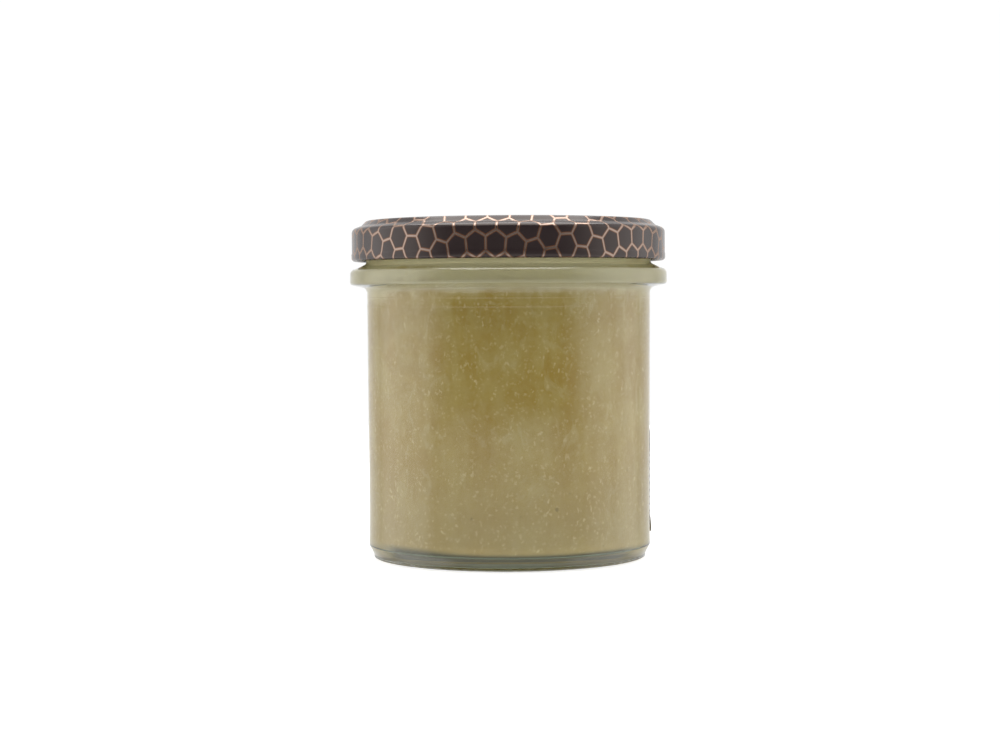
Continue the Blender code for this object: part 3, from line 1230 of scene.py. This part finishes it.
@dataclass
class PaperLabel:
    """The thin paper label on the right side and the back of the jar."""

    jar: GlassJar
    start: float = math.radians(-2.0)
    sweep: float = math.radians(150.0)
    corner: float = 2.0 * MM
    lift: float = 0.03 * MM
    thickness: float = 0.14 * MM
    peel: float = 0.36 * MM
    peel_along: float = 7.0 * MM
    peel_up: float = 4.5 * MM
    columns: int = 150
    rows: int = 24
    sharp: float = math.radians(40.0)
    finish: PaperFinish = field(default_factory=PaperFinish)

    def cut(self, place: float, span: float) -> float:
        """Gives how far a round corner cuts into the label's height.

        Args:
            place: The distance along the label.
            span: The label's width.

        Returns:
            The height lost at top and bottom.
        """
        inset = self.corner - min(place, span - place)
        if inset <= 0.0:
            return 0.0
        return self.corner - math.sqrt(max(0.0, self.corner ** 2 - inset ** 2))

    def peeled(self, along: float, up: float) -> float:
        """Gives how far the lower corner at the label's start stands off the glass.

        Args:
            along: The distance along the label.
            up: The height above its lower edge.

        Returns:
            The extra radius there.
        """
        share = max(0.0, 1.0 - along / self.peel_along) * max(0.0, 1.0 - up / self.peel_up)
        return self.peel * math.sqrt(share)

    def points(self, span: float) -> tuple[list[Corner], list[Corner]]:
        """Lays the rows and columns of the label's inner and outer face.

        Args:
            span: The label's width.

        Returns:
            The points on the jar, and where each lies on the flat label.
        """
        bottom, top = (end.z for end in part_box("label"))
        vertices, places = [], []
        for face in (self.lift, self.lift + self.thickness):
            for column in range(self.columns + 1):
                along = span * (0.5 - 0.5 * math.cos(math.pi * column / self.columns))
                angle = self.start + along / self.jar.waist_radius
                cut = self.cut(along, span)
                for row in range(self.rows + 1):
                    height = bottom + cut + (top - bottom - 2.0 * cut) * row / self.rows
                    radius = self.jar.body_radius(height) + face + self.peeled(along, height - bottom)
                    vertices.append((radius * math.cos(angle), radius * math.sin(angle), height))
                    places.append((along, height - bottom, 0.0))
        return vertices, places

    def faces(self) -> list[tuple[int, ...]]:
        """Joins the points into an inner face, an outer face and the edge all round.

        Returns:
            The faces.
        """
        stride = self.rows + 1
        layer = (self.columns + 1) * stride
        faces = []
        for column in range(self.columns):
            for row in range(self.rows):
                a = column * stride + row
                b = a + stride
                faces.append((a, a + 1, b + 1, b))
                faces.append((layer + a, layer + b, layer + b + 1, layer + a + 1))
        edge = [column * stride for column in range(self.columns + 1)]
        edge += [self.columns * stride + row for row in range(1, self.rows + 1)]
        edge += [column * stride + self.rows for column in range(self.columns - 1, -1, -1)]
        edge += list(range(self.rows - 1, 0, -1))
        for here, beside in zip(edge, edge[1:] + edge[:1]):
            faces.append((here, beside, layer + beside, layer + here))
        return faces

    def build(self, effects: Effects) -> bpy.types.Object:
        """Builds the label.

        Args:
            effects: The shared node groups.

        Returns:
            The piece.
        """
        span = self.sweep * self.jar.waist_radius
        vertices, places = self.points(span)
        mesh = bpy.data.meshes.new("paper_label")
        mesh.from_pydata(vertices, [], self.faces())
        mesh.shade_smooth()
        mesh.set_sharp_from_angle(angle=self.sharp)
        place = mesh.attributes.new(SHEET_PLACE, "FLOAT_VECTOR", "POINT")
        place.data.foreach_set("vector", [part for point in places for part in point])
        return add_piece(mesh, self.finish.material(effects, span), "label")


@dataclass
class Studio:
    """White table, soft light from both sides and above, and the camera."""

    camera_distance: float = 572.0 * MM
    camera_height: float = 69.55 * MM
    camera_pitch: float = 0.03415
    camera_roll: float = 0.0052
    aim_shift_pixels: float = 8.9
    focal_pixels: float = 2085.3
    image_width_pixels: float = 1000.0
    sensor_width_mm: float = 36.0
    clip: Span = (0.01, 20.0)
    table_radius: float = 0.62
    table_steps: int = 96
    softbox_size: Point = (0.9, 1.2)
    softbox_place: tuple[float, float, float] = (0.0, 0.05, 0.90)
    softbox_power: float = 17.0
    left_glow: float = 2.15
    left_degrees: tuple[float, ...] = (40.0, 80.0, 104.0, 150.0)
    right_glow: float = 1.9
    right_degrees: tuple[float, ...] = (34.0, 80.0, 110.0, 150.0)
    table_glow: float = 1.25
    table_slope: Span = (-0.052, -0.077)
    table_turn: Span = (1.5, 1.0)
    ceiling_slope: Span = (0.90, 0.60)
    back_glow: float = 0.95
    back_turn: Span = (1.2, 2.3)
    dark_glow: float = 0.06
    seen_white: float = 1.02
    floor: FloorFinish = field(default_factory=FloorFinish)

    def build_table(self, effects: Effects) -> bpy.types.Object:
        """Builds the round white table that the jar stands on.

        Args:
            effects: The shared node groups.

        Returns:
            The table's top.
        """
        rim = []
        for step in range(self.table_steps):
            angle = math.tau * step / self.table_steps
            rim.append((self.table_radius * math.cos(angle), self.table_radius * math.sin(angle), 0.0))
        mesh = bpy.data.meshes.new("studio_table")
        mesh.from_pydata(rim, [], [list(range(self.table_steps))])
        mesh.materials.append(self.floor.material(effects))
        table = add_object("studio_table", mesh)
        table.visible_glossy = False
        return table

    def build_softbox(self) -> bpy.types.Object:
        """Hangs the soft light above the jar.

        Returns:
            The light.
        """
        lamp = bpy.data.lights.new("overhead softbox", "AREA")
        lamp.shape = "RECTANGLE"
        lamp.size, lamp.size_y = self.softbox_size
        lamp.energy = self.softbox_power
        light = add_object("overhead softbox", lamp)
        light.location = self.softbox_place
        return light

    def build_surround(self) -> bpy.types.World:
        """Paints the room: white behind, soft light at both sides, dark on the camera's side.

        Returns:
            The world.
        """
        world = bpy.data.worlds.new("studio")
        bpy.context.scene.world = world
        world.use_nodes = True
        sketch = NodeSketch(world.node_tree)
        x, y, z = sketch.apart(sketch.add("ShaderNodeTexCoord").outputs["Generated"])
        azimuth = sketch.math("ARCTAN2", x, sketch.times(y, -1.0))
        turn = sketch.math("ABSOLUTE", azimuth)
        left = self.side_glow(sketch, sketch.times(azimuth, -1.0), self.left_glow, self.left_degrees)
        right = self.side_glow(sketch, azimuth, self.right_glow, self.right_degrees)
        below = sketch.fade(z, *self.table_slope)
        table = sketch.times(below, sketch.fade(turn, *self.table_turn), self.table_glow)
        sides = sketch.math("MAXIMUM", sketch.math("MAXIMUM", left, right), table)
        sides = sketch.times(sides, sketch.fade(z, *self.ceiling_slope))
        behind = sketch.times(sketch.fade(turn, *self.back_turn), self.back_glow)
        room = sketch.math("MAXIMUM", sides, sketch.math("MAXIMUM", behind, self.dark_glow))
        paths = sketch.add("ShaderNodeLightPath").outputs
        scattered = sketch.plus(paths["Diffuse Depth"], paths["Glossy Depth"])
        straight = sketch.math("LESS_THAN", scattered, 0.5)
        strength = sketch.blend_numbers(straight, room, self.seen_white)
        background = world.node_tree.nodes["Background"]
        sketch.fill(background, Color=(1.0, 1.0, 1.0), Strength=strength)
        return world

    def side_glow(
        self, sketch: NodeSketch, azimuth: Socket, strength: float, degrees: tuple[float, ...]
    ) -> Socket:
        """Gives one soft upright patch of light.

        Args:
            sketch: The world's sketch.
            azimuth: The ray's azimuth, 0 towards the camera and positive to the patch's side.
            strength: The patch's strength.
            degrees: Where it begins, is full, begins to fade and ends.

        Returns:
            The patch's light.
        """
        begin, full, fading, end = (math.radians(angle) for angle in degrees)
        return sketch.times(sketch.fade(azimuth, begin, full), sketch.fade(azimuth, end, fading), strength)

    def build_camera(self) -> bpy.types.Object:
        """Sets up the camera at the photograph's viewing angle.

        Returns:
            The camera.
        """
        data = bpy.data.cameras.new("camera")
        data.sensor_width = self.sensor_width_mm
        data.lens = self.focal_pixels / self.image_width_pixels * self.sensor_width_mm
        data.clip_start, data.clip_end = self.clip
        camera = add_object("camera", data)
        camera.location = (0.0, -self.camera_distance, self.camera_height)
        yaw = self.aim_shift_pixels / self.focal_pixels
        look = Euler((math.pi / 2.0 - self.camera_pitch, 0.0, yaw)).to_matrix()
        tilt = Euler((0.0, 0.0, -self.camera_roll)).to_matrix()
        camera.rotation_euler = (look @ tilt).to_euler()
        bpy.context.scene.camera = camera
        return camera

    def build(self, effects: Effects) -> None:
        """Builds the whole studio.

        Args:
            effects: The shared node groups.
        """
        self.build_table(effects)
        self.build_softbox()
        self.build_surround()
        self.build_camera()
        bpy.context.scene.view_settings.view_transform = "Standard"
        log.info("studio: table, soft light, camera")


def main() -> None:
    """Builds the jar's pieces and the studio, and reports each one."""
    logging.basicConfig(level=logging.INFO, format="%(name)s: %(message)s")
    effects = Effects(make_ripple(), make_honeycomb(), make_flecks())
    Studio().build(effects)
    jar = GlassJar()
    for maker in (jar, HoneyFill(jar), ScrewLid(), PaperLabel(jar)):
        piece = maker.build(effects)
        log.info("%s: %d faces", piece.name, len(piece.data.polygons))


if __name__ == "__main__":
    main()
